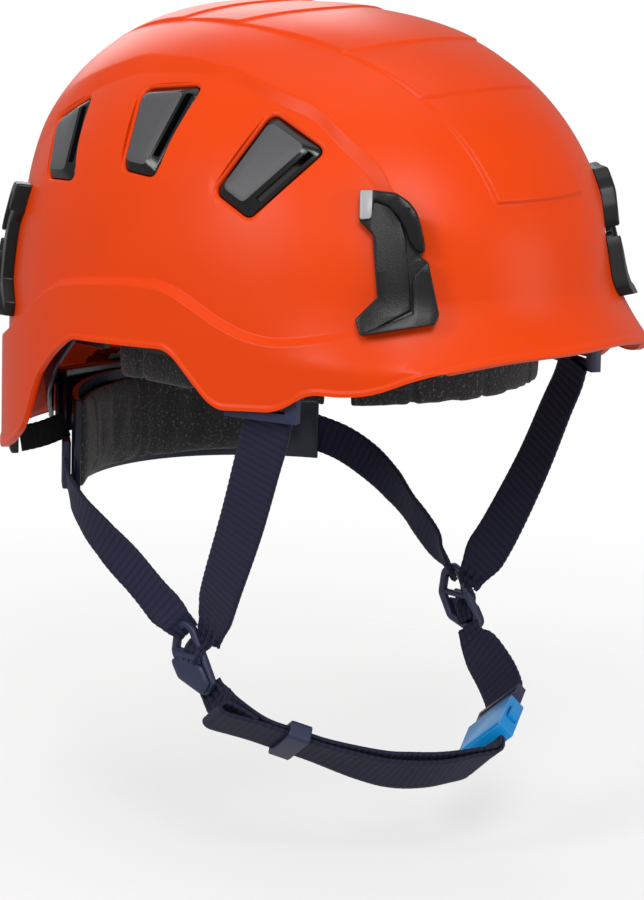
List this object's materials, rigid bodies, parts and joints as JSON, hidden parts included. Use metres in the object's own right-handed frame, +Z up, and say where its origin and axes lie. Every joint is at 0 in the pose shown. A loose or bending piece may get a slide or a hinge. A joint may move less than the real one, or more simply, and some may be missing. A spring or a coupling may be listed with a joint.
{
  "type": "climbing helmet",
  "caption": "Mountaineering helmet: hard shell with skirt and brim, black vent inserts, headlamp clips, textile suspension, rear adjuster and webbing chin strap.",
  "frame": {"origin": "centre of the head seat, level with the lower edge of the headband", "axes": "+Z up towards the crown, -Y towards the face, +X towards the wearer's left"},
  "size_m": [0.2134, 0.2884, 0.3041],
  "materials": {
    "shell_orange": "satin gloss moulded shell",
    "vent_black": "pebbled plate in a polished frame",
    "clip_black": "matt moulded",
    "webbing_navy": "cross-ribbed woven webbing",
    "elastic_black": "woven elastic",
    "foam_black": "speckled foam",
    "steel": "plated",
    "buckle_blue": "moulded",
    "plastic_navy": "moulded",
    "cradle_plastic": "moulded, slightly shiny"
  },
  "bodies": {
    "helmet": {"buckle_body": "buckle_blue", "buckle_tongue": "plastic_navy", "chin_anchor_left": "plastic_navy", "chin_anchor_right": "plastic_navy", "chin_strap_left": "webbing_navy", "chin_strap_right": "webbing_navy", "cradle_pivot_pins": "steel", "crown_pad": "foam_black", "crown_strap_diagonal_lower": "webbing_navy", "crown_strap_diagonal_upper": "webbing_navy", "crown_strap_side_to_side": "webbing_navy", "divider_left": "plastic_navy", "divider_right": "plastic_navy", "front_strap_left": "webbing_navy", "front_strap_right": "webbing_navy", "headband": "cradle_plastic", "headband_pad_front": "foam_black", "headband_pad_left": "foam_black", "headband_pad_right": "foam_black", "lamp_clip_front_left": "clip_black", "lamp_clip_front_right": "clip_black", "lamp_clip_rear_left": "clip_black", "lamp_clip_rear_right": "clip_black", "nape_strap_clips": "cradle_plastic", "nape_strap_left": "elastic_black", "nape_strap_right": "elastic_black", "rear_strap_left": "webbing_navy", "rear_strap_right": "webbing_navy", "shell": "shell_orange", "suspension_hooks": "cradle_plastic", "vent_insert_front_left": "vent_black", "vent_insert_front_right": "vent_black", "vent_insert_middle_left": "vent_black", "vent_insert_middle_right": "vent_black", "vent_insert_rear_left": "vent_black", "vent_insert_rear_right": "vent_black"},
    "cradle_arms": {"cradle_arm_right": "cradle_plastic", "cradle_arm_left": "cradle_plastic"},
    "nape_unit": {"adjuster_housing": "cradle_plastic", "adjuster_cover": "cradle_plastic", "cover_screws": "steel", "ratchet_spring": "steel", "nape_frame": "cradle_plastic", "nape_pad": "foam_black", "rear_strap_anchors": "cradle_plastic"},
    "knob": {"adjuster_knob": "cradle_plastic", "drive_gear": "cradle_plastic", "knob_screw": "steel"},
    "right_rack": {"rack_right": "cradle_plastic"},
    "left_rack": {"rack_left": "cradle_plastic"},
    "right_leaf": {"divider_leaf_right": "plastic_navy"},
    "left_leaf": {"divider_leaf_left": "plastic_navy"},
    "upper_release": {"release_arm_upper": "plastic_navy"},
    "lower_release": {"release_arm_lower": "plastic_navy"},
    "keeper": {"strap_keeper": "plastic_navy"}
  },
  "joints": [
    {"name": "cradle_tilt", "type": "hinge", "parent": "helmet", "child": "cradle_arms", "pos_m": [0, 0.046, 0.006], "axis": [1, 0, 0], "range_deg": [-8, 12], "deforming": ["nape_strap_right", "nape_strap_left", "rear_strap_right", "rear_strap_left"]},
    {"name": "nape_slide", "type": "slide", "parent": "cradle_arms", "child": "nape_unit", "axis": [0, -1, 0], "range_m": [-0.00455, 0.00455], "deforming": ["cradle_arm_right", "cradle_arm_left"]},
    {"name": "knob_turn", "type": "hinge", "parent": "nape_unit", "child": "knob", "pos_m": [0, 0.0987, -0.042], "axis": [0, 1, 0], "range_deg": [-60, 60]},
    {"name": "rack_right_slide", "type": "slide", "parent": "nape_unit", "child": "right_rack", "axis": [1, 0, 0], "range_m": [-0.0064, 0.0064]},
    {"name": "rack_left_slide", "type": "slide", "parent": "nape_unit", "child": "left_rack", "axis": [-1, 0, 0], "range_m": [-0.0064, 0.0064]},
    {"name": "leaf_right_lift", "type": "hinge", "parent": "helmet", "child": "right_leaf", "pos_m": [-0.0786, -0.024, -0.119], "axis": [0, 1, 0], "range_deg": [0, 70]},
    {"name": "leaf_left_lift", "type": "hinge", "parent": "helmet", "child": "left_leaf", "pos_m": [0.0786, -0.024, -0.119], "axis": [0, -1, 0], "range_deg": [0, 70]},
    {"name": "release_upper_press", "type": "slide", "parent": "helmet", "child": "upper_release", "axis": [-0.2546, 0.7064, -0.6605], "range_m": [0, 0.0016], "stiffness_N_per_m": 400},
    {"name": "release_lower_press", "type": "slide", "parent": "helmet", "child": "lower_release", "axis": [0.2546, -0.7064, 0.6605], "range_m": [0, 0.0016], "stiffness_N_per_m": 400},
    {"name": "keeper_slide", "type": "slide", "parent": "helmet", "child": "keeper", "axis": [0.7753, -0.5242, -0.3522], "range_m": [-0.004, 0.004]}
  ],
  "couplings": [
    {"joint": "knob_turn", "follows": "nape_slide", "rad_per_m": 222.22},
    {"joint": "rack_right_slide", "follows": "nape_slide", "ratio": 1.3333},
    {"joint": "rack_left_slide", "follows": "nape_slide", "ratio": 1.3333}
  ]
}
